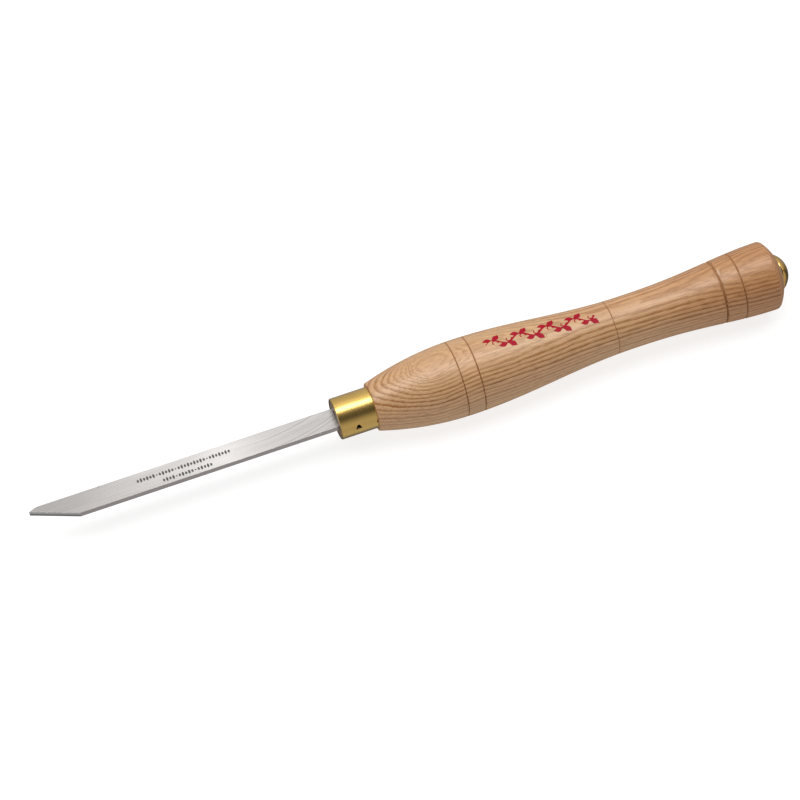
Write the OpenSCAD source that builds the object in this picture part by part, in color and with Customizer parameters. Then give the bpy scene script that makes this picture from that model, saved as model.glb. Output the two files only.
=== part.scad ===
// Woodturner's parting tool: a flat steel bar with an off-centre V point, a brass
// ferrule and a turned ash handle closed by a brass dome.
// X runs along the tool, with the point at -X and the handle's butt at +X.
// The origin is on the centre line, at the front face of the ferrule.

/* [Blade] */
// Width of the bar across its wide faces
blade_w = 12.7; // [10:0.1:15]
// Thickness of the bar
blade_t = 3.18; // [2.4:0.02:4]
// Length of bar in front of the ferrule, measured to the point
blade_len = 166.7; // [120:0.1:200]
// Distance of the point from the bar's centre line
point_offset = 4.6; // [2:0.1:5]
// Angle between the short bevel and the centre line
short_bevel_angle = 21.5; // [15:0.5:35]
// Angle between the long bevel and the centre line
long_bevel_angle = 24; // [18:0.5:35]

/* [Tang] */
// Length of the tang hidden in the handle
tang_len = 76; // [60:1:85]
// Width of the tang where it leaves the bar
tang_w = 8.6; // [7:0.1:9]
// Thickness of the tang, ground down from the bar
tang_t = 2.8; // [2:0.1:3.1]
// Width of the tang at its blunt tip
tang_tip_w = 3; // [2:0.1:5]
// Length of the taper at the tang's end
tang_taper = 18; // [8:1:30]

/* [Ferrule] */
// Outer diameter of the brass tube
ferrule_d = 22.6; // [21:0.1:25]
// Length of the brass tube
ferrule_len = 20.4; // [16:0.1:26]
// Wall thickness of the brass tube
ferrule_wall = 1.2; // [0.9:0.05:1.6]
// Depth of the stake marks that lock the tube to the wood
stake_depth = 0.75; // [0.4:0.05:0.85]
// Size of a stake mark across its base
stake_size = 3.2; // [2:0.1:4]
// Angle of the stake marks above the blade's lower edge
stake_angle = 13; // [0:1:60]
// Distance of the first stake mark behind the ferrule's front face
stake_x = 9.5; // [6:0.1:14]
// How far the centre of the second stake mark lies off the ferrule's rear rim
rim_stake_off = 0.5; // [0.2:0.1:1]

/* [Handle outline] */
// Radius of the shoulder that the ferrule butts against
shoulder_r = 13.05; // [12.4:0.05:15]
// Distance of the swell's widest point from the origin
swell_x = 71; // [60:0.5:85]
// Radius of the swell
swell_r = 20.65; // [18:0.05:24]
// Distance of the waist from the origin
waist_x = 165.5; // [140:0.5:180]
// Radius of the waist
waist_r = 14.5; // [12.5:0.05:16]
// Radius of the butt
butt_r = 19; // [16:0.05:22]
// How late the flare from waist to butt opens, where 1 is even
flare_lag = 1.25; // [1:0.05:1.5]
// Distance from the origin to where the butt's dome would peak
butt_peak_x = 254; // [245:0.5:265]
// Radius of the butt's domed end
butt_dome_r = 29.5; // [24:0.5:40]
// Rounding between the butt's side and its dome
butt_round = 2.5; // [1:0.1:4]

/* [Handle grooves] */
// Distances of the turned grooves from the origin
groove_x = [67.5, 77.1, 155.3, 216.6, 227.6]; // [60:0.1:235]
// Widths of the grooves at the surface
groove_w = [0.7, 0.7, 0.5, 1.7, 1.1]; // [0.3:0.1:2.4]
// Depths of the grooves
groove_depth = [0.5, 0.55, 0.25, 0.95, 0.6]; // [0.2:0.05:1]

/* [End dome] */
// Diameter of the brass dome at its rim
dome_d = 20.3; // [14:0.1:24]
// Radius of the dome's curve
dome_curve_r = 12; // [11:0.1:20]
// Height of the straight rim below the curve
dome_rim_h = 0.4; // [0.2:0.05:1]
// Sheet thickness of the dome
dome_wall = 0.8; // [0.5:0.05:1.2]
// Diameter of the nail brazed inside the dome
nail_d = 2.6; // [2:0.1:4]
// Length of nail that is driven into the wood
nail_len = 20; // [12:1:30]

/* [Hidden] */

fine = 96;
// Spacing of the stations along the handle's outline
outline_step = 4;
// Number of steps in each rounded stretch of the outline
arc_steps = 8;
// The tang is bedded in a round bore a little wider than its diagonal
bore_clearance = 0.4;
bore_d = norm([tang_w, tang_t]) + bore_clearance;
// Free length of bore behind the tang's tip
bore_spare = 4;
bore_len = tang_len + bore_spare;
// The adhesive stops short of the bore's mouth
adhesive_set_back = 1;
// The wood's front face, where the bar's shoulders bear, sits back inside the rim
wood_set_back = 0.3;
ferrule_r = ferrule_d / 2;
spigot_r = ferrule_r - ferrule_wall;
groove_count = len(groove_x);

// The dome's sphere is centred on the handle's axis
butt_centre_x = butt_peak_x - butt_dome_r;
// The rounding's centre touches the butt's side and the dome from inside
round_r = butt_r - butt_round;
round_x = butt_centre_x + sqrt(pow(butt_dome_r - butt_round, 2) - pow(round_r, 2));
round_angle = atan2(round_x - butt_centre_x, round_r);
// Flat seat cut across the butt's dome for the brass cap
seat_r = dome_d / 2;
seat_x = butt_centre_x + sqrt(pow(butt_dome_r, 2) - pow(seat_r, 2));
seat_angle = atan2(seat_x - butt_centre_x, seat_r);
// Centres of the cap's outer and inner curves
cap_centre_x = seat_x + dome_rim_h - sqrt(pow(dome_curve_r, 2) - pow(seat_r, 2));
cap_inner_r = dome_curve_r - dome_wall;
nail_point = 3;

// Half a cosine wave, rising from 0 to 1
function ease(s) = (1 - cos(180 * s)) / 2;

// Radius of the turned outline at a distance x from the origin
function outline_r(x) =
    x < swell_x ? swell_r - (swell_r - shoulder_r) * pow((swell_x - x) / (swell_x - ferrule_len), 2)
    : x < waist_x ? swell_r - (swell_r - waist_r) * ease((x - swell_x) / (waist_x - swell_x))
    : waist_r + (butt_r - waist_r) * ease(pow((x - waist_x) / (round_x - waist_x), flare_lag));

// Points of an arc about [cx, cr], where the angle is measured from the radial direction
function arc(cx, cr, r, from, to) =
    [for (i = [0:arc_steps]) let (a = from + (to - from) * i / arc_steps) [cr + r * cos(a), cx + r * sin(a)]];

// Turns a child that is drawn round +Z so that it lies round +X
module along_x() {
    rotate([90, 0, 90]) children();
}

// Solid cylinder on the tool's axis between two stations
module rod(d, from, to) {
    translate([from, 0, 0]) along_x() cylinder(d = d, h = to - from, $fn = fine);
}

// Plan view of the bar, from its point to its shoulders
module bar_outline() {
    half = blade_w / 2;
    short_len = (half - point_offset) / tan(short_bevel_angle);
    long_len = (half + point_offset) / tan(long_bevel_angle);
    polygon([
        [-blade_len, point_offset],
        [-blade_len + long_len, -half],
        [wood_set_back, -half],
        [wood_set_back, half],
        [-blade_len + short_len, half]
    ]);
}

// Plan view of the tang, rooted a little way inside the bar
module tang_outline() {
    root = 1;
    polygon([
        [wood_set_back - root, -tang_w / 2],
        [tang_len - tang_taper, -tang_w / 2],
        [tang_len, -tang_tip_w / 2],
        [tang_len, tang_tip_w / 2],
        [tang_len - tang_taper, tang_w / 2],
        [wood_set_back - root, tang_w / 2]
    ]);
}

// Plate of a given thickness, centred on the plane of the tool's axis
module plate(thickness) {
    translate([0, 0, -thickness / 2])
        linear_extrude(height = thickness) children();
}

module blade() {
    color("gainsboro")
        union() {
            plate(blade_t) bar_outline();
            plate(tang_t) tang_outline();
        }
}

module tang_adhesive() {
    color("saddlebrown")
        difference() {
            rod(bore_d, adhesive_set_back, bore_len);
            plate(tang_t) tang_outline();
        }
}

// Triangular pocket of a stake punch, at a station along the ferrule
module stake_pocket(x) {
    rotate([-stake_angle, 0, 0])
        translate([x, -ferrule_r + stake_depth, 0])
            rotate([90, 0, 0])
                linear_extrude(height = 2 * stake_depth)
                    polygon([
                        [-stake_size / 2, -stake_size / 2],
                        [stake_size / 2, -stake_size / 2],
                        [0, stake_size / 2]
                    ]);
}

module ferrule() {
    color("goldenrod")
        difference() {
            rod(ferrule_d, 0, ferrule_len);
            rod(2 * spigot_r, -1, ferrule_len + 1);
            stake_pocket(stake_x);
            stake_pocket(ferrule_len + rim_stake_off);
        }
}

// Ring with a V section, cut into the handle by a skew chisel
module groove(i) {
    r = outline_r(groove_x[i]);
    over = 0.5;
    half = groove_w[i] / 2 * (1 + over / groove_depth[i]);
    translate([groove_x[i], 0, 0]) along_x()
        rotate_extrude($fn = fine)
            polygon([[r - groove_depth[i], 0], [r + over, half], [r + over, -half]]);
}

module handle() {
    swell_and_flare = [for (x = [ferrule_len:outline_step:round_x - 1]) [outline_r(x), x]];
    color("burlywood")
        difference() {
            along_x() rotate_extrude($fn = fine)
                polygon(concat(
                    [[0, wood_set_back], [spigot_r, wood_set_back], [spigot_r, ferrule_len]],
                    swell_and_flare,
                    arc(round_x, round_r, butt_round, 0, round_angle),
                    arc(butt_centre_x, 0, butt_dome_r, round_angle + 1, seat_angle),
                    [[0, seat_x]]
                ));
            for (i = [0:groove_count - 1]) groove(i);
            rod(bore_d, 0, bore_len);
            rod(nail_d, seat_x - nail_len + nail_point, seat_x + 1);
            translate([seat_x - nail_len, 0, 0]) nail_tip();
        }
}

// Half section of the cap, filled from the seat up to one of its curves
module cap_section(curve_r, rim_r) {
    intersection() {
        translate([0, cap_centre_x]) circle(r = curve_r, $fn = fine);
        translate([0, seat_x]) square([rim_r, dome_d]);
    }
}

module dome_cap() {
    color("gold")
        along_x() rotate_extrude($fn = fine)
            difference() {
                cap_section(dome_curve_r, seat_r);
                cap_section(cap_inner_r, seat_r - dome_wall);
            }
}

module nail_tip() {
    along_x() cylinder(d1 = 0.4, d2 = nail_d, h = nail_point, $fn = fine);
}

module dome_nail() {
    color("silver") {
        intersection() {
            translate([cap_centre_x, 0, 0]) sphere(r = cap_inner_r, $fn = fine);
            rod(nail_d, seat_x - nail_len + nail_point, seat_x + dome_d);
        }
        translate([seat_x - nail_len, 0, 0]) nail_tip();
    }
}

blade();
tang_adhesive();
ferrule();
handle();
dome_cap();
dome_nail();
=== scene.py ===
"""Looks of a woodturner's parting tool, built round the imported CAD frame.

The tool lies on a pale studio floor: steel bar, brass ferrule, turned ash handle
and a brass dome. X runs along the tool, with the point at -X. Sizes are in
millimetres, turned into metres when a mesh is made.
"""
import math

import bmesh
import bpy
from mathutils import Matrix, Vector, noise


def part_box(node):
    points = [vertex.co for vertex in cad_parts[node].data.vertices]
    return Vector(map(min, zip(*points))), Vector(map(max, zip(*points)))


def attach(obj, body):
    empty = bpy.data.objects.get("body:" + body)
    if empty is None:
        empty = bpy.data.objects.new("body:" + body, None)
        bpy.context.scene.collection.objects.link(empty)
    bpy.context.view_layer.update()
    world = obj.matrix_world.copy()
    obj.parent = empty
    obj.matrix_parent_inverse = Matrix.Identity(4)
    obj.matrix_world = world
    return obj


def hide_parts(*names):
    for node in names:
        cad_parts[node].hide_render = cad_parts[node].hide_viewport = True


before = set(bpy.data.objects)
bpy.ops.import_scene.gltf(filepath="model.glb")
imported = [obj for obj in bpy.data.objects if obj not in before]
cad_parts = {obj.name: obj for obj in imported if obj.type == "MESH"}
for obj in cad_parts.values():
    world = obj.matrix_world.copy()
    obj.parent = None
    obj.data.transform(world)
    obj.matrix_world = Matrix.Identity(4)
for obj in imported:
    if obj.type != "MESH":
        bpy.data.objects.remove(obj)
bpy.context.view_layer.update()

MM = 0.001
BODY = "root"

# Stations and sizes that the frame doesn't name, in millimetres and degrees.
SWELL_X = 71.0
WAIST_X = 165.5
WAIST_R = 14.5
SHOULDER_R = 13.05
FLARE_LAG = 1.25
BUTT_R = 19.0
BUTT_DOME_R = 29.5
BUTT_ROUND = 2.5
FERRULE_WALL = 1.2
BORE_R = 4.72
BORE_END = 80.0
NAIL_R = 1.3
NAIL_DEPTH = 20.0
NAIL_POINT = 3.0
DOME_CURVE_R = 12.0
DOME_RIM_H = 0.4
DOME_WALL = 0.8
POINT_OFFSET = 4.6
SHORT_BEVEL = 21.5
LONG_BEVEL = 24.0
STAKE_ANGLE = 13.0
STAKE_X = 9.5

# A stake mark's outline round its centre: its foot and tip, its half width at the foot,
# how fast it narrows on the way up, and how far a band of painted shadow reaches below the foot.
STAKE_FOOT = -1.5
STAKE_TIP = 1.6
STAKE_HALF_W = 1.65
STAKE_TAPER = 0.42
STAKE_SHADE_DROP = 0.4
# The mark at the rear rim: how far behind the rim, how far up, and how strong it is.
RIM_STAKE_OFF = 0.6
RIM_STAKE_LIFT = 0.1
RIM_STAKE_STRENGTH = 0.6

# Each groove: station, width, depth, how torn its edges are, how dark its floor is.
GROOVES = [
    (67.5, 0.9, 0.50, 0.30, 0.85),
    (77.1, 0.9, 0.55, 0.30, 0.90),
    (155.3, 0.8, 0.25, 0.25, 0.85),
    (216.6, 1.7, 0.95, 0.50, 0.90),
    (227.6, 1.1, 0.60, 0.45, 0.85),
]

# The tang and the nick in the bar's far edge.
TANG_HALF_W = 4.3
TANG_HALF_T = 1.4
TANG_TIP_HALF_W = 1.5
TANG_TAPER = 18.0
NICK_X = -128.6

# Etched rows: where each starts along X and across Y, and how many beads its groups have.
ETCHED_ROWS = [(-108.5, 1.2, (6, 5, 9, 7)), (-95.5, -3.4, (4, 5, 5))]
ETCH_PITCH = 1.72
ETCH_DOT_R = 0.45
# How far an etched mark reaches into the steel and stands above it.
ETCH_SUNK = 0.05
ETCH_PROUD = 0.012
# Plan of an etched bead. Beads in a row alternate between two heights, as shares of this one.
BEAD_HEIGHTS = (0.95, 1.35)
BEAD = [
    (-0.58, 0.35), (-0.58, -0.35), (-0.2, -1), (0.2, -1),
    (0.58, -0.35), (0.58, 0.35), (0.2, 1), (-0.2, 1),
]

# The printed vine runs along the top of the handle, standing a little above the wood with
# its underside sunk in it.
PRINT_LIFT = 0.03
PRINT_SUNK = 0.08
PRINT_FROM = 85.5
PRINT_TO = 147.0
PRINT_ANGLE = math.radians(91.5)
VINE_WAVES = 4
# The two leaves at each bend of the vine: direction, length and half width.
VINE_LEAVES = ((0.35, 6.6, 1.5), (2.5, 5.0, 1.2))

# A chip torn out beside the fourth groove: its place on the handle and its size.
CHIP_X = 217.9
CHIP_ANGLE = 94.0
CHIP_HALF_ANGLE = 9.0
CHIP_HALF_LENGTH = 0.9
CHIP_DEPTH = 0.4


def span(node):
    """Lowest and highest corner of a CAD node, in millimetres."""
    low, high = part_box(node)
    return low / MM, high / MM


BLADE_LOW, BLADE_HIGH = span("blade")
FERRULE_HIGH = span("ferrule")[1]
HANDLE_LOW, HANDLE_HIGH = span("handle")
DOME_LOW, DOME_HIGH = span("dome_cap")

BLADE_LEN = -BLADE_LOW.x
BLADE_HALF_W = BLADE_HIGH.y
BLADE_HALF_T = BLADE_HIGH.z
FERRULE_LEN = FERRULE_HIGH.x
FERRULE_R = FERRULE_HIGH.z
SPIGOT_R = FERRULE_R - FERRULE_WALL
WOOD_FRONT = HANDLE_LOW.x
SWELL_R = HANDLE_HIGH.z
SEAT_X = DOME_LOW.x
DOME_R = DOME_HIGH.z

BUTT_CENTRE_X = SEAT_X - math.sqrt(BUTT_DOME_R**2 - DOME_R**2)
ROUND_R = BUTT_R - BUTT_ROUND
ROUND_X = BUTT_CENTRE_X + math.sqrt((BUTT_DOME_R - BUTT_ROUND) ** 2 - ROUND_R**2)
ROUND_ANGLE = math.atan2(ROUND_X - BUTT_CENTRE_X, ROUND_R)
SEAT_ANGLE = math.atan2(SEAT_X - BUTT_CENTRE_X, DOME_R)


# ---------------------------------------------------------------- mesh helpers


def steps(start, stop, count):
    """count + 1 even values from start to stop."""
    return [start + (stop - start) * i / count for i in range(count + 1)]


def arc(centre_x, centre_r, radius, start, stop, count):
    """Points (x, r) of an arc; its angle is measured from the radial direction."""
    return [
        (centre_x + radius * math.sin(a), centre_r + radius * math.cos(a))
        for a in steps(start, stop, count)
    ]


def smooth_step(value):
    """0 below 0, 1 above 1, and a soft curve between."""
    t = min(max(value, 0.0), 1.0)
    return t * t * (3 - 2 * t)


def new_object(name, data):
    """An object in the scene that holds a mesh, a light or a camera."""
    obj = bpy.data.objects.new(name, data)
    bpy.context.scene.collection.objects.link(obj)
    return obj


def soften(mesh, sharp_angle=40.0):
    """Smooth shading that keeps edges sharper than an angle."""
    work = bmesh.new()
    work.from_mesh(mesh)
    bmesh.ops.recalc_face_normals(work, faces=work.faces)
    limit = math.radians(sharp_angle)
    for face in work.faces:
        face.smooth = True
    for edge in work.edges:
        edge.smooth = len(edge.link_faces) != 2 or edge.calc_face_angle(0.0) < limit
    work.to_mesh(mesh)
    work.free()


def lathe(name, outline, sides, displace=None, masks=()):
    """Turns an outline of (x, r) points round the tool's axis.

    A point with r = 0 becomes a pole. displace(x, r, angle) gives a new (x, r), and
    each mask is a (name, function of x, r and angle) stored on the vertices.
    """
    verts, rings, values = [], [], {mask: [] for mask, _ in masks}
    for x, r in outline:
        ring = []
        for side in range(sides if r > 0 else 1):
            angle = math.tau * side / sides
            px, pr = displace(x, r, angle) if displace and r > 0 else (x, r)
            ring.append(len(verts))
            verts.append((px * MM, pr * math.cos(angle) * MM, pr * math.sin(angle) * MM))
            for mask, rule in masks:
                values[mask].append(rule(x, r, angle))
        rings.append(ring)
    faces = []
    for first, second in zip(rings, rings[1:]):
        for side in range(sides):
            after = (side + 1) % sides
            corners = [first[side % len(first)], first[after % len(first)]]
            corners += [second[after % len(second)], second[side % len(second)]]
            face = list(dict.fromkeys(corners))
            if len(face) > 2:
                faces.append(face)
    mesh = bpy.data.meshes.new(name)
    mesh.from_pydata(verts, [], faces)
    for mask, data in values.items():
        mesh.attributes.new(mask, "FLOAT", "POINT").data.foreach_set("value", data)
    soften(mesh)
    return new_object(name, mesh)


def finish_piece(obj, material, slot, *nodes):
    """Gives a piece its material and ties it to the frame."""
    obj.data.materials.append(material)
    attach(obj, BODY)
    if nodes:
        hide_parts(*nodes)
    return obj


# ------------------------------------------------------------ material helpers


def feed(tree, socket, value):
    """Links a socket to another, or sets its value."""
    if isinstance(value, bpy.types.NodeSocket):
        tree.links.new(value, socket)
    else:
        socket.default_value = value


def set_stops(ramp, stops):
    """Gives a colour ramp node its stops, each a (position, (r, g, b))."""
    elements = ramp.color_ramp.elements
    while len(elements) < len(stops):
        elements.new(0.5)
    for element, (position, rgb) in zip(elements, stops):
        element.position = position
        element.color = (*rgb, 1.0)


class Shader:
    """A material under construction, with short calls for its nodes."""

    def __init__(self, name):
        self.material = bpy.data.materials.new(name)
        self.material.use_nodes = True
        self.tree = self.material.node_tree
        self.surface = self.tree.nodes["Principled BSDF"]
        place = self.node("ShaderNodeTexCoord").outputs["Object"]
        self.place = self.scaled(place, (1 / MM, 1 / MM, 1 / MM))

    def node(self, kind, inputs=None, **settings):
        """Adds a node, with values or links for its inputs and values for its settings."""
        made = self.tree.nodes.new(kind)
        for key, value in settings.items():
            setattr(made, key, value)
        for key, value in (inputs or {}).items():
            feed(self.tree, made.inputs[key], value)
        return made

    def scaled(self, vector, scale):
        """A vector times a scale for each axis."""
        return self.node("ShaderNodeMapping", {"Vector": vector, "Scale": scale}).outputs[0]

    def math(self, operation, *values):
        """Result of a maths node whose inputs are sockets or numbers."""
        made = self.node("ShaderNodeMath", operation=operation)
        for socket, value in zip(made.inputs, values):
            feed(self.tree, socket, value)
        return made.outputs[0]

    def distance_from(self, point):
        """Distance in millimetres from a point of the tool's frame."""
        made = self.node("ShaderNodeVectorMath", {0: self.place, 1: point}, operation="DISTANCE")
        return made.outputs["Value"]

    def noise(self, scale, detail=2.0, roughness=0.5):
        """Noise from 0 to 1 whose cells are 1 / scale millimetres along each axis."""
        at = self.scaled(self.place, scale)
        inputs = {"Vector": at, "Scale": 1.0, "Detail": detail, "Roughness": roughness}
        return self.node("ShaderNodeTexNoise", inputs).outputs[0]

    def ramp(self, factor, *stops):
        """Colour ramp; a stop is (position, grey value) or (position, (r, g, b))."""
        made = self.node("ShaderNodeValToRGB", {"Fac": factor})
        set_stops(made, [(at, c if isinstance(c, tuple) else (c,) * 3) for at, c in stops])
        return made.outputs["Color"]

    def between(self, value, given, wanted):
        """Maps a range of values smoothly to another, and holds its ends."""
        inputs = {"Value": value, "From Min": given[0], "From Max": given[1]}
        inputs.update({"To Min": wanted[0], "To Max": wanted[1]})
        return self.node("ShaderNodeMapRange", inputs, interpolation_type="SMOOTHSTEP").outputs[0]

    def mix(self, factor, first, second, blend="MIX"):
        """Mixes two colours; each is a socket or an (r, g, b)."""
        made = self.node("ShaderNodeMix", data_type="RGBA", blend_type=blend)
        feed(self.tree, made.inputs[0], factor)
        for socket, value in ((made.inputs[6], first), (made.inputs[7], second)):
            feed(self.tree, socket, (*value, 1.0) if isinstance(value, tuple) else value)
        return made.outputs[2]

    def bump(self, height, strength, distance, socket="Normal"):
        """Roughens the surface or its coat; the distance is in millimetres."""
        inputs = {"Height": height, "Strength": strength, "Distance": distance * MM}
        made = self.node("ShaderNodeBump", inputs)
        feed(self.tree, self.surface.inputs[socket], made.outputs[0])

    def set(self, **values):
        """Sets the surface's sockets; an underscore stands for a space."""
        for key, value in values.items():
            feed(self.tree, self.surface.inputs[key.replace("_", " ")], value)


# ------------------------------------------------------------------- materials

# Growth rings: the direction across them, measured from +Z towards -Y, turns slowly.
RING_ANGLE_FRONT = math.radians(-7.0)
RING_TURN = math.radians(0.075)
PITH_DISTANCE = 110.0
# The grain's slope along the handle, and the stretches where it bends by an amount more.
RING_TILT = 0.04
RING_BENDS = [(16.0, 52.0, 1.0), (46.0, 80.0, -4.1), (165.0, 250.0, -5.0)]
# Rings are narrow at this height above the axis and grow wider below it: the number of
# rings down to some depth is RING_COUNT times that depth raised to RING_POWER.
RING_TOP = 20.8
RING_COUNT = 2.23
RING_POWER = 0.6
# How far uneven growth shifts the rings, in rings.
RING_UNEVEN = 1.3
# How the rings wander: the noise's scale along each axis, and its reach in millimetres.
RING_DRIFT = [((0.011, 0.03, 0.03), 2.4), ((0.04, 0.16, 0.16), 1.2), ((0.12, 1.0, 1.0), 0.6)]
# Stretches of the handle: dark end grain with painted shade inside the ferrule's rim, the tan
# towards the butt, and a pale grey painted reflection on the end grain of the butt's dome.
FRONT_GRAIN_AND_SHADE = (0.6, 1.2)
TAN_STRETCH = (150.0, 245.0)
BUTT_PAINTED_SHEEN = (251.2, 251.5)


def ash_wood():
    """Lacquered ring-porous ash: a solid texture of rings, pores and fibre."""
    s = Shader("lacquered_ash")
    axes = s.node("ShaderNodeSeparateXYZ", {"Vector": s.place}).outputs
    x, y, z = axes[0], axes[1], axes[2]
    turn = s.math("MULTIPLY_ADD", x, RING_TURN, RING_ANGLE_FRONT)
    sine, cosine = s.math("SINE", turn), s.math("COSINE", turn)
    across = s.math("SUBTRACT", s.math("MULTIPLY", z, cosine), s.math("MULTIPLY", y, sine))
    along = s.math("ADD", s.math("MULTIPLY", y, cosine), s.math("MULTIPLY", z, sine))
    bow = s.math("DIVIDE", s.math("MULTIPLY", along, along), 2 * PITH_DISTANCE)
    depth = s.math("ADD", across, bow)
    depth = s.math("MULTIPLY_ADD", x, RING_TILT, depth)
    for start, stop, amount in RING_BENDS:
        depth = s.math("ADD", depth, s.between(x, (start, stop), (0.0, amount)))
    for scale, reach in RING_DRIFT:
        drift = s.math("SUBTRACT", s.noise(scale), 0.5)
        depth = s.math("MULTIPLY_ADD", drift, reach, depth)
    uneven = s.node("ShaderNodeTexNoise", {"W": depth, "Scale": 0.16}, noise_dimensions="1D")
    below = s.math("ABSOLUTE", s.math("SUBTRACT", RING_TOP, depth))
    rings = s.math("MULTIPLY", s.math("POWER", below, RING_POWER), -RING_COUNT)
    rings = s.math("MULTIPLY_ADD", uneven.outputs[0], RING_UNEVEN, rings)
    phase = s.math("FRACT", rings)
    early = s.ramp(phase, (0.0, 0.0), (0.13, 1.0), (0.40, 0.85), (0.58, 0.12), (1.0, 0.0))
    year = s.node(
        "ShaderNodeTexWhiteNoise", {"W": s.math("FLOOR", rings)}, noise_dimensions="1D"
    ).outputs[0]
    early = s.math("MULTIPLY", early, s.math("MULTIPLY_ADD", year, 0.75, 0.50))
    broken = s.noise((0.08, 2.6, 2.6), detail=3.0, roughness=0.65)
    early = s.math("MULTIPLY", early, s.ramp(broken, (0.36, 0.55), (0.60, 1.10)))
    early = s.math("MULTIPLY", early, s.between(across, (16.0, 19.5), (1.0, 0.6)))
    early = s.math("MULTIPLY", early, s.between(across, (2.0, 10.0), (0.70, 1.0)))
    fibre = s.noise((0.05, 1.7, 1.7), detail=4.0, roughness=0.6)
    pores = s.ramp(s.noise((0.22, 3.6, 3.6), detail=1.0), (0.52, 0.0), (0.66, 1.0))
    cloud = s.noise((0.012, 0.05, 0.05), detail=1.0)

    warmth = s.ramp(cloud, (0.35, 0.0), (0.65, 1.0))
    pale = s.mix(warmth, (0.56, 0.345, 0.180), (0.56, 0.325, 0.168))
    streaks = s.ramp(fibre, (0.3, 0.76), (0.5, 1.0), (0.72, 1.16))
    pale = s.mix(1.0, pale, streaks, "MULTIPLY")
    colour = s.mix(s.math("MINIMUM", early, 1.0), pale, (0.30, 0.125, 0.029))
    pore_mark = s.math("MULTIPLY", pores, s.math("MULTIPLY_ADD", early, 0.55, 0.18))
    colour = s.mix(pore_mark, colour, (0.18, 0.08, 0.03))
    tanned = s.mix(1.0, colour, (0.80, 0.67, 0.54), "MULTIPLY")
    colour = s.mix(s.between(x, TAN_STRETCH, (0.0, 1.0)), colour, tanned)
    raw = s.node("ShaderNodeAttribute", attribute_name="chip").outputs["Fac"]
    colour = s.mix(raw, colour, (0.48, 0.31, 0.20))
    # Painted shade at the front: the end grain inside the ferrule's rim and the mouth of the bore
    # are darkened, partly their own tone and partly shade beside the blade.
    front = s.between(x, FRONT_GRAIN_AND_SHADE, (0.75, 0.0))
    colour = s.mix(front, colour, (0.11, 0.075, 0.055))
    # Painted reflection: the end grain of the butt's dome turns pale grey, as lacquer does seen at
    # a grazing angle.
    butt = s.between(x, BUTT_PAINTED_SHEEN, (0.0, 0.85))
    colour = s.mix(butt, colour, (0.46, 0.43, 0.42))
    groove = s.node("ShaderNodeAttribute", attribute_name="groove").outputs["Fac"]
    burn = s.math("MULTIPLY", groove, s.math("MULTIPLY_ADD", early, 0.45, 0.72))
    colour = s.mix(s.math("MINIMUM", burn, 1.0), colour, (0.25, 0.105, 0.032))
    s.set(Base_Color=colour)
    s.set(Roughness=s.ramp(fibre, (0.3, 0.42), (0.7, 0.52)))
    s.set(Coat_Weight=0.38, Coat_Roughness=0.18, Coat_IOR=1.5)
    s.set(Specular_IOR_Level=0.35)
    height = s.math("SUBTRACT", s.math("MULTIPLY", fibre, 0.4), s.math("MULTIPLY", pore_mark, 1.0))
    s.bump(height, 0.35, 0.06)
    ripple = s.noise((0.11, 1.6, 1.6), detail=3.0, roughness=0.65)
    s.bump(ripple, 0.8, 0.14, "Coat Normal")
    return s.material


# Where the grinding wheel ran out in arcs: their centre, and the stretch where they set in.
RUN_OUT_CENTRE = (-47.0, 120.0, 0.0)
RUN_OUT_STRETCH = (-66.0, -24.0)


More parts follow.
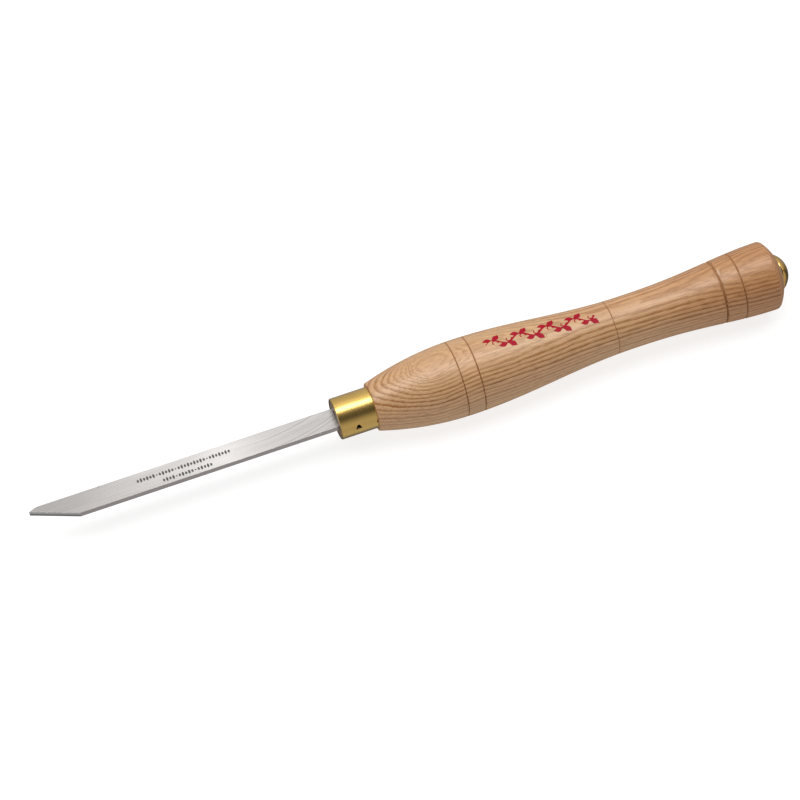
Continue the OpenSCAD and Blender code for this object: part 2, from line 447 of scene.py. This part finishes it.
def ground_steel():
    """Tool steel from a surface grinder: lines along the bar, arcs where the wheel ran out, a
    painted highlight along the bar and painted shade.
    """
    s = Shader("ground_steel")
    axes = s.node("ShaderNodeSeparateXYZ", {"Vector": s.place}).outputs
    x, z = axes[0], axes[2]
    lines = s.noise((0.03, 5.0, 5.0), detail=5.0, roughness=0.7)
    patches = s.noise((0.03, 0.25, 0.25), detail=3.0)
    tone = s.ramp(lines, (0.25, (0.80, 0.758, 0.742)), (0.75, (0.97, 0.926, 0.908)))
    tone = s.mix(0.5, tone, s.ramp(patches, (0.3, 0.80), (0.7, 1.0)))
    # Painted highlight: the bar's tone rises and falls along its length, brightest a third of the
    # way from the ferrule to the point, darkest at the point.
    wander = s.math("MULTIPLY_ADD", s.math("SUBTRACT", lines, 0.5), 26.0, x)
    along = s.math("DIVIDE", wander, -BLADE_LEN)
    painted_sheen = s.ramp(
        along, (0.0, 0.72), (0.12, 0.75), (0.25, 0.86), (0.36, 1.0),
        (0.50, 0.84), (0.66, 0.74), (0.85, 0.57), (1.0, 0.51),
    )
    tone = s.mix(1.0, tone, painted_sheen, "MULTIPLY")
    off_centre = s.distance_from(RUN_OUT_CENTRE)
    arcs = s.node(
        "ShaderNodeTexNoise", {"W": off_centre, "Scale": 0.95, "Detail": 3.0},
        noise_dimensions="1D",
    ).outputs[0]
    run_out = s.between(x, RUN_OUT_STRETCH, (0.0, 0.46))
    arc_mark = s.math("MULTIPLY", s.ramp(arcs, (0.48, 0.0), (0.62, 1.0)), run_out)
    tone = s.mix(arc_mark, tone, (0.35, 0.345, 0.34))
    # Painted shade: the bar's narrow sides get a much darker tone, standing in for the dark
    # surroundings they reflect.
    side = s.node("ShaderNodeAttribute", attribute_name="side").outputs["Fac"]
    tone = s.mix(side, tone, s.ramp(lines, (0.3, (0.45, 0.42, 0.41)), (0.7, (0.55, 0.51, 0.50))))
    bevel = s.node("ShaderNodeAttribute", attribute_name="bevel").outputs["Fac"]
    # Painted shade and reflection on the point's bevels: their lower half darker, their upper half
    # lighter, times the grinding patches.
    painted_bevel_shade = s.between(z, (-0.25, 0.15), (0.26, 0.62))
    bevel_grind_and_shade = s.mix(1.0, s.ramp(patches, (0.3, 0.85), (0.7, 1.0)), painted_bevel_shade, "MULTIPLY")
    tone = s.mix(bevel, tone, bevel_grind_and_shade)
    # Darker round the nick in the far edge.
    from_nick = s.distance_from((NICK_X, BLADE_HALF_W, BLADE_HALF_T))
    dark_round_nick = s.between(from_nick, (0.35, 0.9), (0.85, 0.0))
    tone = s.mix(dark_round_nick, tone, (0.10, 0.095, 0.09))
    s.set(Base_Color=tone, Metallic=1.0)
    s.set(Roughness=s.ramp(lines, (0.3, 0.24), (0.7, 0.32)))
    s.bump(lines, 0.10, 0.02)
    return s.material


def etched_steel():
    """Dull grey of a shallow etch in the steel."""
    s = Shader("etched_steel")
    grain = s.noise((3.0, 3.0, 3.0), detail=3.0)
    s.set(Base_Color=s.ramp(grain, (0.3, 0.06), (0.7, 0.12)), Specular_IOR_Level=0.15)
    s.set(Roughness=s.ramp(grain, (0.3, 0.55), (0.7, 0.75)))
    return s.material


def red_foil():
    """Red foil printed on the lacquer, a little worn where the grain is open."""
    s = Shader("red_foil")
    wear = s.noise((0.5, 3.0, 3.0), detail=3.0, roughness=0.6)
    reds = [(0.3, (0.26, 0.002, 0.012)), (0.62, (0.38, 0.004, 0.022)), (0.75, (0.42, 0.04, 0.04))]
    s.set(Base_Color=s.ramp(wear, *reds))
    s.set(Roughness=s.ramp(wear, (0.3, 0.45), (0.7, 0.6)), Specular_IOR_Level=0.12)
    s.bump(wear, 0.2, 0.02)
    return s.material


def satin_brass():
    """Turned brass under thin lacquer, with fine rings, and painted shade in the stake marks and on
    the tube's inner wall.
    """
    s = Shader("satin_brass")
    rings = s.noise((6.0, 0.25, 0.25), detail=4.0, roughness=0.65)
    cloud = s.noise((0.12, 0.12, 0.12), detail=3.0)
    tone = s.ramp(cloud, (0.3, (0.79, 0.52, 0.135)), (0.7, (0.90, 0.59, 0.18)))
    painted_ferrule_shade = s.node("ShaderNodeAttribute", attribute_name="painted_ferrule_shade").outputs["Fac"]
    # Painted shade: near black in the stake marks and on the tube's inner wall.
    s.set(Base_Color=s.mix(painted_ferrule_shade, tone, (0.03, 0.018, 0.008)), Metallic=1.0)
    s.set(Roughness=s.ramp(rings, (0.3, 0.23), (0.7, 0.29)))
    s.set(Coat_Weight=s.ramp(painted_ferrule_shade, (0.0, 0.5), (0.5, 0.0)), Coat_Roughness=0.25, Coat_IOR=1.5)
    s.bump(rings, 0.05, 0.012)
    return s.material


def polished_brass():
    """Buffed brass with faint swirls."""
    s = Shader("polished_brass")
    swirls = s.noise((1.5, 1.5, 1.5), detail=5.0, roughness=0.6)
    tone = s.ramp(swirls, (0.3, (0.78, 0.47, 0.13)), (0.7, (0.88, 0.55, 0.18)))
    s.set(Base_Color=tone, Metallic=1.0)
    s.set(Roughness=s.ramp(swirls, (0.3, 0.07), (0.7, 0.14)))
    s.bump(swirls, 0.05, 0.01)
    return s.material


def set_adhesive():
    """Dull dark adhesive, a little lumpy."""
    s = Shader("set_adhesive")
    lumps = s.noise((0.8, 0.8, 0.8), detail=3.0)
    s.set(Base_Color=s.ramp(lumps, (0.3, (0.05, 0.028, 0.014)), (0.7, (0.10, 0.055, 0.025))))
    s.set(Roughness=s.ramp(lumps, (0.3, 0.5), (0.7, 0.7)))
    s.bump(lumps, 0.4, 0.1)
    return s.material


def drawn_steel():
    """Bright nail wire with drawing lines."""
    s = Shader("drawn_steel")
    lines = s.noise((0.1, 6.0, 6.0), detail=3.0)
    s.set(Base_Color=s.ramp(lines, (0.3, 0.45), (0.7, 0.62)), Metallic=1.0)
    s.set(Roughness=s.ramp(lines, (0.3, 0.25), (0.7, 0.4)))
    return s.material


def pale_floor():
    """Plain pale floor of back-lit white acrylic, with a very faint mottle."""
    s = Shader("pale_floor")
    mottle = s.noise((0.004, 0.004, 0.004), detail=2.0)
    s.set(Base_Color=s.ramp(mottle, (0.3, 0.24), (0.7, 0.26)), Roughness=0.85)
    s.set(Emission_Color=(1.0, 1.0, 1.0, 1.0), Emission_Strength=0.81)
    return s.material


# ---------------------------------------------------------------------- pieces


def outline_r(x):
    """Radius of the turned handle at a station, grooves and chip left out."""
    if x < SWELL_X:
        rise = ((SWELL_X - x) / (SWELL_X - FERRULE_LEN)) ** 2
        return SWELL_R - (SWELL_R - SHOULDER_R) * rise
    if x < WAIST_X:
        fall = (x - SWELL_X) / (WAIST_X - SWELL_X)
        return SWELL_R - (SWELL_R - WAIST_R) * (1 - math.cos(math.pi * fall)) / 2
    flare = ((x - WAIST_X) / (ROUND_X - WAIST_X)) ** FLARE_LAG
    return WAIST_R + (BUTT_R - WAIST_R) * (1 - math.cos(math.pi * flare)) / 2


def groove_cut(x, angle):
    """Depth of the grooves at a place on the handle, and the darkness there."""
    cut, dark = 0.0, 0.0
    for station, width, depth, torn, burn in GROOVES:
        if abs(x - station) > width:
            continue
        round_it = Vector((math.cos(angle), math.sin(angle), station * 0.37))
        tear = noise.noise(round_it * 9.0) + 0.5 * noise.noise(round_it * 31.0)
        wander = noise.noise(round_it * 4.0) * 0.12 * torn
        half = width / 2 * (1 + torn * tear)
        near = 1 - abs(x - station - wander) / half
        if near <= 0:
            continue
        cut = depth * (1 + 0.5 * torn * tear) * min(near * 1.15, 1.0)
        dark = burn * smooth_step(near * 1.9 - 0.25)
        if torn > 0.3:
            # The most torn grooves are darkest down the side towards -Y.
            dark *= 0.5 + 0.5 * smooth_step((math.degrees(angle) - 95) / 60)
    return cut, dark


def chip_cut(x, angle):
    """How far a chip beside the fourth groove reaches, from 0 to 1."""
    around = abs(math.degrees(angle) - CHIP_ANGLE) / CHIP_HALF_ANGLE
    ahead = abs(x - CHIP_X) / CHIP_HALF_LENGTH
    ragged = 0.25 * noise.noise(Vector((x * 1.7, angle * 40.0, 3.0)))
    return smooth_step((1.0 - math.hypot(around, ahead) + ragged) / 0.35)


def handle_stations():
    """Stations along the turned part, closer together in the grooves."""
    xs = steps(FERRULE_LEN + 0.5, ROUND_X - 0.4, 430)
    for station, width, _, _, _ in GROOVES:
        xs += steps(station - 0.8 * width, station + 0.8 * width, 24)
    return sorted(set(round(x, 3) for x in xs))


def make_handle(material):
    """Turned handle with its spigot, bore, nail hole, torn grooves and chip."""
    ease = 0.5
    shoulder_x = FERRULE_LEN + ease
    shoulder = arc(shoulder_x, outline_r(shoulder_x) - ease, ease, -math.pi / 2, 0.0, 5)
    outline = [(BORE_END, 0.0), (BORE_END, BORE_R), (WOOD_FRONT + 0.2, BORE_R)]
    outline += [(WOOD_FRONT, r) for r in steps(BORE_R + 0.2, SPIGOT_R, 8)]
    outline += [(FERRULE_LEN, SPIGOT_R), (FERRULE_LEN, SPIGOT_R + 0.6)]
    outline += shoulder[:-1]
    outline += [(x, outline_r(x)) for x in handle_stations()]
    outline += arc(ROUND_X, ROUND_R, BUTT_ROUND, 0.0, ROUND_ANGLE, 12)
    outline += arc(BUTT_CENTRE_X, 0.0, BUTT_DOME_R, ROUND_ANGLE, SEAT_ANGLE, 24)[1:]
    nail_tip = SEAT_X - NAIL_DEPTH
    outline += [(SEAT_X, NAIL_R), (nail_tip + NAIL_POINT, NAIL_R), (nail_tip, 0.0)]

    def displace(x, r, angle):
        if r < SHOULDER_R or x > ROUND_X:
            return x, r
        return x, r - max(groove_cut(x, angle)[0], CHIP_DEPTH * chip_cut(x, angle))

    def outside(rule):
        """The same rule on the turned surface, and 0 nearer the axis."""
        return lambda x, r, angle: rule(x, angle) if r > WAIST_R - 1 else 0.0

    darkness = outside(lambda x, angle: groove_cut(x, angle)[1])
    masks = [("groove", darkness), ("chip", outside(chip_cut))]
    obj = lathe("ash_handle", outline, 320, displace, masks)
    return finish_piece(obj, material, "ash_wood", "handle")


def stake_mark(across, up):
    """Depth of a stake mark at a place measured from its centre, and the painted shade in it and
    below its foot.
    """
    half = STAKE_HALF_W - STAKE_TAPER * (up - STAKE_FOOT)
    inside = half - abs(across)
    if up < STAKE_FOOT - STAKE_SHADE_DROP or up > STAKE_TIP or inside < 0:
        return 0.0, 0.0
    # Below the foot there is no dent, only a band of painted shadow.
    if up < STAKE_FOOT:
        return 0.0, 1.0
    fall = smooth_step((STAKE_TIP - up) / 2.6)
    edge = smooth_step(inside / 0.35)
    wall = smooth_step((up - STAKE_FOOT) / 0.25)
    # Painted shade, darkest in the deep lower part of the mark.
    dark = smooth_step((fall - 0.35) / 0.4) * smooth_step((inside + 0.1) / 0.2)
    return fall * edge * wall, dark


def make_ferrule(material):
    """Brass tube, rounded at its bore's lip and at both rims, staked to the spigot."""
    inner, length = SPIGOT_R, FERRULE_LEN
    lip, front, rear = 0.35, 0.55, 0.15
    outline = [(length, inner), (0.4, inner)]
    outline += arc(lip, inner + lip, lip, math.pi * 1.25, math.pi * 1.5, 3)
    outline += arc(front, FERRULE_R - front, front, -math.pi / 2, 0.0, 6)
    outline += [(x, FERRULE_R) for x in steps(0.7, length - 0.25, 130)]
    outline += arc(length - rear, FERRULE_R - rear, rear, 0.0, math.pi / 2, 3)
    outline += [(length, inner)]
    centre = math.pi - math.radians(STAKE_ANGLE)
    rim_mark = (length + RIM_STAKE_OFF, RIM_STAKE_LIFT, RIM_STAKE_STRENGTH)
    marks = [(STAKE_X, 0.0, 1.0), rim_mark]

    def hit(x, angle):
        """Depth and painted shade of the stronger stake mark at a place on the tube."""
        best = (0.0, 0.0)
        for mark_x, lift, strength in marks:
            up = (centre - angle) * FERRULE_R - lift
            depth, dark = stake_mark(x - mark_x, up)
            best = max(best, (depth * strength, dark * strength))
        return best

    def displace(x, r, angle):
        return (x, r - hit(x, angle)[0]) if r > FERRULE_R - 0.3 else (x, r)

    # Painted shade: the tube's inner wall is dark, and so are the stake marks.
    def darkness(x, r, angle):
        return 0.9 if r < inner + 0.2 else hit(x, angle)[1]

    masks = [("painted_ferrule_shade", darkness)]
    obj = lathe("brass_ferrule", outline, 360, displace, masks)
    return finish_piece(obj, material, "satin_brass", "ferrule")


def make_dome(material):
    """Pressed brass dome with its straight rim and a hollow inside."""
    centre_x = SEAT_X + DOME_RIM_H - math.sqrt(DOME_CURVE_R**2 - DOME_R**2)
    inner_curve, inner_r = DOME_CURVE_R - DOME_WALL, DOME_R - DOME_WALL
    start = math.asin((SEAT_X + DOME_RIM_H - centre_x) / DOME_CURVE_R)
    inner_start = math.acos(inner_r / inner_curve)
    outer = arc(centre_x, 0.0, DOME_CURVE_R, start, math.pi / 2, 36)
    inner = arc(centre_x, 0.0, inner_curve, math.pi / 2, inner_start, 24)
    outline = [(SEAT_X, inner_r), (SEAT_X, DOME_R - 0.1), (SEAT_X + 0.1, DOME_R)]
    outline += outer[:-1] + [(centre_x + DOME_CURVE_R, 0.0)]
    shell = lathe("butt_dome", outline, 160)
    inside = [(centre_x + inner_curve, 0.0)] + inner[1:] + [(SEAT_X, inner_r)]
    lining = lathe("dome_lining", inside, 160)
    work = bmesh.new()
    work.from_mesh(shell.data)
    work.from_mesh(lining.data)
    bmesh.ops.remove_doubles(work, verts=work.verts, dist=0.001 * MM)
    work.to_mesh(shell.data)
    work.free()
    bpy.data.objects.remove(lining)
    soften(shell.data)
    return finish_piece(shell, material, "polished_brass", "dome_cap")


def plan_outline():
    """Plan view of the bar, from its point to its shoulders, with a nick in the far edge."""
    half_w = BLADE_HALF_W
    short_len = (half_w - POINT_OFFSET) / math.tan(math.radians(SHORT_BEVEL))
    long_len = (half_w + POINT_OFFSET) / math.tan(math.radians(LONG_BEVEL))
    return [
        (-BLADE_LEN, POINT_OFFSET),
        (-BLADE_LEN + long_len, -half_w),
        (WOOD_FRONT, -half_w),
        (WOOD_FRONT, half_w),
        (NICK_X + 0.35, half_w),
        (NICK_X, half_w - 0.3),
        (NICK_X - 0.35, half_w),
        (-BLADE_LEN + short_len, half_w),
    ]


def tang_plan():
    """Plan view of the tang, rooted just inside the bar."""
    tip = BLADE_HIGH.x
    side = [(WOOD_FRONT - 1, TANG_HALF_W), (tip - TANG_TAPER, TANG_HALF_W), (tip, TANG_TIP_HALF_W)]
    return side + [(x, -y) for x, y in reversed(side)]


def add_plate(work, outline, bottom, top, ease=0.0):
    """Adds a plate to a bmesh: a plan outline in millimetres between two heights."""
    low = [work.verts.new((x * MM, y * MM, bottom * MM)) for x, y in outline]
    high = [work.verts.new((x * MM, y * MM, top * MM)) for x, y in outline]
    faces = [work.faces.new(high), work.faces.new(low[::-1])]
    for i in range(len(outline)):
        after = (i + 1) % len(outline)
        faces.append(work.faces.new((low[i], low[after], high[after], high[i])))
    if ease:
        edges = list({edge for face in faces for edge in face.edges})
        bmesh.ops.bevel(work, geom=edges, offset=ease * MM, segments=2, profile=0.5, affect="EDGES")


def make_blade(material):
    """Bar and tang with eased edges; attributes mark the narrow sides and the bevels."""
    work = bmesh.new()
    add_plate(work, plan_outline(), -BLADE_HALF_T, BLADE_HALF_T, ease=0.05)
    add_plate(work, tang_plan(), -TANG_HALF_T, TANG_HALF_T, ease=0.08)
    mesh = bpy.data.meshes.new("steel_blade")
    work.to_mesh(mesh)
    work.free()
    soften(mesh, 10.0)
    upright = [abs(face.normal.z) < 0.5 for face in mesh.polygons]
    bevel_end = -100 * MM
    slanted = [abs(face.normal.x) > 0.2 and face.center.x < bevel_end for face in mesh.polygons]
    marks = {
        # The side mask carries painted shade: the material darkens the bar's narrow sides.
        "side": [float(u and not s) for u, s in zip(upright, slanted)],
        # The bevel mask carries painted shade: the material darkens the lower half of these faces.
        "bevel": [float(u and s) for u, s in zip(upright, slanted)],
    }
    for name, values in marks.items():
        mesh.attributes.new(name, "FLOAT", "FACE").data.foreach_set("value", values)
    return finish_piece(new_object("steel_blade", mesh), material, "tool_steel", "blade")


def make_etching(material):
    """Two rows of small beads and dots etched in the top face, with no wording."""
    work = bmesh.new()
    bottom, top = BLADE_HALF_T - ETCH_SUNK, BLADE_HALF_T + ETCH_PROUD
    turns = steps(0, math.tau, 10)[:-1]
    dot = [(ETCH_DOT_R * math.cos(a), ETCH_DOT_R * math.sin(a)) for a in turns]
    for start, y, groups in ETCHED_ROWS:
        x = start
        for group, count in enumerate(groups):
            for i in range(count):
                tall = BEAD_HEIGHTS[i % 2]
                add_plate(work, [(x + bx, y + by * tall) for bx, by in BEAD], bottom, top)
                x += ETCH_PITCH
            if group < len(groups) - 1:
                add_plate(work, [(x + dx, y + dy) for dx, dy in dot], bottom, top)
            x += ETCH_PITCH
    mesh = bpy.data.meshes.new("etched_marks")
    work.to_mesh(mesh)
    work.free()
    return finish_piece(new_object("etched_marks", mesh), material, "tool_steel")


# Points across a printed stroke, as shares of its half width.
STROKE_ACROSS = (-1.0, -0.5, 0.0, 0.5, 1.0)


def add_stroke(work, path, half_width):
    """Adds a printed stroke that hugs the handle.

    path(t) gives a place (x, s), where s is the distance round the handle towards +Y from
    the print's centre line, and half_width(t) its half width, for t from 0 to 1.
    """
    previous = None
    for t in steps(0.0, 1.0, 40):
        (x0, s0), (x1, s1) = path(max(t - 0.01, 0.0)), path(min(t + 0.01, 1.0))
        length = math.hypot(x1 - x0, s1 - s0)
        side_x, side_s = -(s1 - s0) / length, (x1 - x0) / length
        x, s = path(t)
        half = max(half_width(t), 0.03)
        section = []
        top = [(across, PRINT_LIFT) for across in STROKE_ACROSS]
        for across, lift in top + [(1.0, -PRINT_SUNK), (-1.0, -PRINT_SUNK)]:
            px, ps = x + side_x * half * across, s + side_s * half * across
            radius = outline_r(px) + lift
            angle = PRINT_ANGLE - ps / radius
            place = Vector((px, radius * math.cos(angle), radius * math.sin(angle)))
            section.append(work.verts.new(place * MM))
        count = len(section)
        if previous:
            for i in range(count):
                after = (i + 1) % count
                work.faces.new((previous[i], previous[after], section[after], section[i]))
        else:
            work.faces.new(section[::-1])
        previous = section
    work.faces.new(previous)


def make_ornament(material):
    """A running vine with leaves and tendrils, printed in red on the top of the handle."""
    work = bmesh.new()
    length = PRINT_TO - PRINT_FROM

    def stem(t):
        return PRINT_FROM + length * t, 2.0 * math.sin(math.tau * VINE_WAVES * t)

    add_stroke(work, stem, lambda t: 0.6 * math.sin(math.pi * min(max(t, 0.03), 0.97)) ** 0.4)
    for i in range(2 * VINE_WAVES):
        t = (i + 0.5) / (2 * VINE_WAVES)
        x, s = stem(t)
        up = 1 if i % 2 == 0 else -1
        for turn, reach, fat in VINE_LEAVES:
            def leaf(q, x=x, s=s, up=up, turn=turn, reach=reach):
                bend = turn + 0.5 * q
                return x + reach * q * math.cos(bend), s + up * reach * 0.62 * q * math.sin(bend)

            add_stroke(work, leaf, lambda q, fat=fat: 0.12 + fat * math.sin(math.pi * q) ** 1.3)

        def tendril(q, x=x, s=s, up=up):
            swing = 1.4 + 4.2 * q
            reach = 1.9 * (1 - 0.55 * q)
            return x + 1.2 + reach * math.sin(swing), s - up * (2.3 + reach * math.cos(swing))

        add_stroke(work, tendril, lambda q: 0.48 * (1 - 0.5 * q))
    mesh = bpy.data.meshes.new("printed_vine")
    work.to_mesh(mesh)
    work.free()
    soften(mesh)
    return finish_piece(new_object("printed_vine", mesh), material, "ash_wood")


def dress_cad_node(node, material):
    """A CAD node whose shape is right keeps its mesh and gets a finished material."""
    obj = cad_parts[node]
    obj.data.materials.clear()
    obj.data.materials.append(material)


# ----------------------------------------------------------------------- stage

# Where the camera stands, from the tool's own axes, in degrees and millimetres.
AXIS_TILT = 8.8
BLADE_ROLL = 37.0
AXIS_SLOPE = 18.45
CAMERA_DISTANCE = 1560.0
AIM_X = 36.2
AIM_DROP = 1.15
LENS = 133.2


def make_camera():
    """A long lens looking down on the tool, rolled so that the handle rises to the right."""
    tilt, roll, slope = (math.radians(a) for a in (AXIS_TILT, BLADE_ROLL, AXIS_SLOPE))
    lift = math.cos(tilt)
    back = Vector((-math.sin(tilt), -lift * math.sin(roll), lift * math.cos(roll)))
    axis = Vector((1, 0, 0))
    level = (axis - back * axis.dot(back)).normalized()
    right = level * math.cos(slope) - back.cross(level) * math.sin(slope)
    up = back.cross(right)
    target = Vector((AIM_X, 0, 0)) - up * AIM_DROP
    data = bpy.data.cameras.new("camera")
    data.lens, data.sensor_width = LENS, 36.0
    data.clip_start, data.clip_end = 0.05, 50.0
    camera = new_object("camera", data)
    place = (target + back * CAMERA_DISTANCE) * MM
    turn = Matrix((right, up, back)).transposed().to_4x4()
    camera.matrix_world = Matrix.Translation(place) @ turn
    bpy.context.scene.camera = camera


def make_floor():
    """A floor just below the swell, which is the lowest part of the level tool."""
    size = 8.0
    gap = 0.05
    mesh = bpy.data.meshes.new("floor")
    z = -(SWELL_R + gap) * MM
    corners = [(-size, -size, z), (size, -size, z), (size, size, z), (-size, size, z)]
    mesh.from_pydata(corners, [], [(0, 1, 2, 3)])
    mesh.materials.append(pale_floor())
    floor = new_object("floor", mesh)
    floor.visible_glossy = False


def soft_light(name, place, size, radiance, diffuse, glossy):
    """A softbox overhead, facing the tool, with its longer side along X; sizes in metres."""
    width, depth = size
    data = bpy.data.lights.new(name, "AREA")
    data.shape = "RECTANGLE"
    data.size, data.size_y = width, depth
    data.energy = radiance * math.pi * width * depth
    obj = new_object(name, data)
    obj.location = place
    obj.rotation_euler = (-math.atan2(place[1], place[2]), 0.0, 0.0)
    obj.visible_camera = False
    obj.visible_diffuse = diffuse
    obj.visible_glossy = glossy


# Brightness of the studio round the tool's axis, by the angle in degrees from the horizon
# on the viewer's side, up over the tool and down behind it; negative angles are below.
SURROUNDINGS = [
    (-180, 0.50), (-125, 0.14), (-105, 0.06), (-90, 0.20), (-62, 0.54), (-25, 0.42), (-7, 0.50),
    (5, 0.42), (15, 0.34), (24, 0.22), (31, 0.11), (40, 0.07), (60, 0.08), (72, 0.20),
    (90, 0.80), (112, 0.86), (126, 0.98), (139, 0.64), (155, 0.58), (180, 0.48),
]


def make_world():
    """Studio surroundings that change with the angle round the tool's axis."""
    world = bpy.data.worlds.new("studio")
    bpy.context.scene.world = world
    world.use_nodes = True
    tree = world.node_tree

    def math_node(operation, first, second):
        made = tree.nodes.new("ShaderNodeMath")
        made.operation = operation
        for socket, value in zip(made.inputs, (first, second)):
            feed(tree, socket, value)
        return made.outputs[0]

    place = tree.nodes.new("ShaderNodeTexCoord")
    axes = tree.nodes.new("ShaderNodeSeparateXYZ")
    tree.links.new(place.outputs["Generated"], axes.inputs[0])
    to_viewer = math_node("MULTIPLY", axes.outputs["Y"], -1.0)
    angle = math_node("ARCTAN2", axes.outputs["Z"], to_viewer)
    share = math_node("ADD", math_node("DIVIDE", angle, math.tau), 0.5)
    ramp = tree.nodes.new("ShaderNodeValToRGB")
    warm = (1.0, 0.985, 0.965)
    stops = [(degrees / 360 + 0.5, [level * w for w in warm]) for degrees, level in SURROUNDINGS]
    set_stops(ramp, stops)
    tree.links.new(share, ramp.inputs[0])
    tree.links.new(ramp.outputs[0], tree.nodes["Background"].inputs["Color"])


def make_stage():
    """Camera, floor, surroundings and the two lights."""
    make_camera()
    make_floor()
    make_world()
    soft_light("overhead_softbox", (0.0, 0.08, 1.3), (2.6, 1.0), 2.45, diffuse=True, glossy=False)
    soft_light("highlight_strip", (0.0, 0.12, 1.28), (2.6, 0.46), 4.4, diffuse=False, glossy=True)
    bpy.context.scene.view_settings.view_transform = "Standard"


make_stage()
make_handle(ash_wood())
make_ferrule(satin_brass())
make_dome(polished_brass())
make_blade(ground_steel())
make_etching(etched_steel())
make_ornament(red_foil())
dress_cad_node("tang_adhesive", set_adhesive())
dress_cad_node("dome_nail", drawn_steel())
